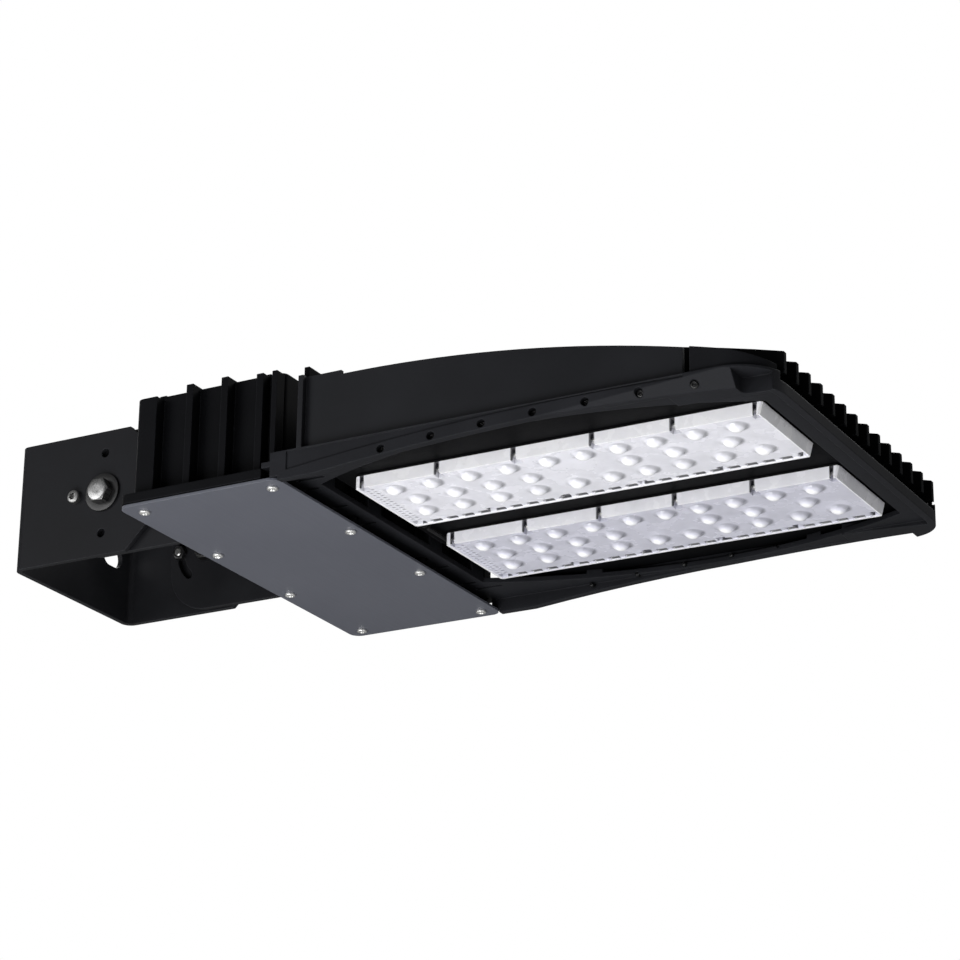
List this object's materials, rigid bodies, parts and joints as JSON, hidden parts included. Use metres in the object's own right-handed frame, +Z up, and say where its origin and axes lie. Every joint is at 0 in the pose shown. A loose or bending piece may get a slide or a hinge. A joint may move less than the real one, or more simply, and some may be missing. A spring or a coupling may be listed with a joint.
{
  "type": "shoebox area light",
  "caption": "Black shoebox area light with arched finned head, grey bay cover, paired domed lens trays and a tilting U-bracket pole mount.",
  "frame": {"origin": "middle of the pole bracket's bearing face, on the wall or pole it is bolted to", "axes": "+X from the pole to the front tip of the head, +Y across the head, +Z up; the light shines toward -Z"},
  "size_m": [0.6585, 0.3292, 0.1072],
  "materials": {
    "bracket_coat": "fine textured black powder coat on steel",
    "cast_coat": "textured black powder coat on die-cast aluminium",
    "panel_coat": "satin black powder coat on aluminium",
    "cover_coat": "satin grey coat on aluminium sheet",
    "zinc_steel": "bright zinc plated",
    "stainless": "plain stainless",
    "washer_steel": "blackened steel",
    "washer_nylon": "natural nylon",
    "seal_rubber": "matte black silicone",
    "gland_nylon": "black nylon",
    "driver_case": "plain potted metal case",
    "surge_case": "moulded",
    "terminal_nylon": "moulded",
    "lead_silicone": "black silicone insulation",
    "thermal_pad": "matte",
    "board_white": "white solder mask on aluminium",
    "led_phosphor": "yellow phosphor",
    "lens_gasket": "matte black silicone",
    "lens_resin": "translucent polycarbonate, faint lavender"
  },
  "bodies": {
    "mount": {"pole_bracket": "bracket_coat", "pivot_bolts": "washer_steel", "pivot_washers": "washer_steel", "friction_washers": "washer_nylon", "pivot_nuts": "zinc_steel", "lock_screws": "stainless", "lock_nuts": "zinc_steel"},
    "head": {"head_bracket": "bracket_coat", "bracket_bolts": "zinc_steel", "bracket_nuts": "zinc_steel", "driver_housing": "cast_coat", "cover_gasket": "seal_rubber", "driver_cover": "cover_coat", "cover_screws": "stainless", "led_driver": "driver_case", "driver_screws": "zinc_steel", "surge_protector": "surge_case", "terminal_block": "terminal_nylon", "bay_screws": "zinc_steel", "supply_gland": "gland_nylon", "gland_nut": "gland_nylon", "lead_grommet": "seal_rubber", "led_leads": "lead_silicone", "joint_bolts": "zinc_steel", "heat_sink": "cast_coat", "led_frame": "cast_coat", "sink_screws": "zinc_steel", "rim_screws": "washer_steel", "side_panel_near": "panel_coat", "side_panel_far": "panel_coat", "corner_cap_near": "cast_coat", "corner_cap_far": "cast_coat", "cap_screws": "zinc_steel", "thermal_pads": "thermal_pad", "led_boards": "board_white", "led_chips": "led_phosphor", "lens_gaskets": "lens_gasket", "lens_near": "lens_resin", "lens_far": "lens_resin", "lens_screws": "stainless"}
  },
  "joints": [
    {"name": "tilt", "type": "hinge", "parent": "mount", "child": "head", "pos_m": [0.08, 0, 0], "axis": [0, -1, 0], "range_deg": [-45, 45]}
  ]
}
